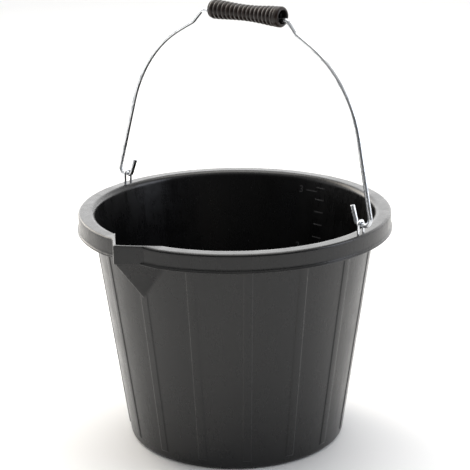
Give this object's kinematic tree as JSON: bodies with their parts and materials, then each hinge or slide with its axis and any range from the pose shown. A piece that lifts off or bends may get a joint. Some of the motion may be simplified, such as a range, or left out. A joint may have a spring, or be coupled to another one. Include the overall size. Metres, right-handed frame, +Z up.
{
  "type": "bucket",
  "caption": "Black plastic bucket with a flat flared rim, pouring lip, upright ribs and a swinging wire bail with a ribbed grip, for water and cut flowers.",
  "frame": {"origin": "centre of the underside of the base, on the plane the bucket stands on", "axes": "+Z up along the bucket's axis, -Y towards the pouring lip, X along the line the bail swings about"},
  "size_m": [0.3592, 0.3635, 0.4812],
  "materials": {
    "black_plastic": "smooth moulded, satin",
    "zinc_wire": "bright zinc plate",
    "grip_plastic": "moulded, satin"
  },
  "bodies": {
    "bucket": {"bucket_shell": "black_plastic", "bail_eye_left": "zinc_wire", "bail_eye_right": "zinc_wire"},
    "bail": {"bail_wire": "zinc_wire"},
    "grip": {"grip": "grip_plastic"}
  },
  "joints": [
    {"name": "bail_swing", "type": "hinge", "parent": "bucket", "child": "bail", "pos_m": [0, 0.0045, 0.2683], "axis": [1, 0, 0], "range_deg": [-97, 92]},
    {"name": "grip_spin", "type": "hinge", "parent": "bail", "child": "grip", "pos_m": [0, 0.01827, 0.47033], "axis": [1, 0, 0], "continuous": true}
  ]
}
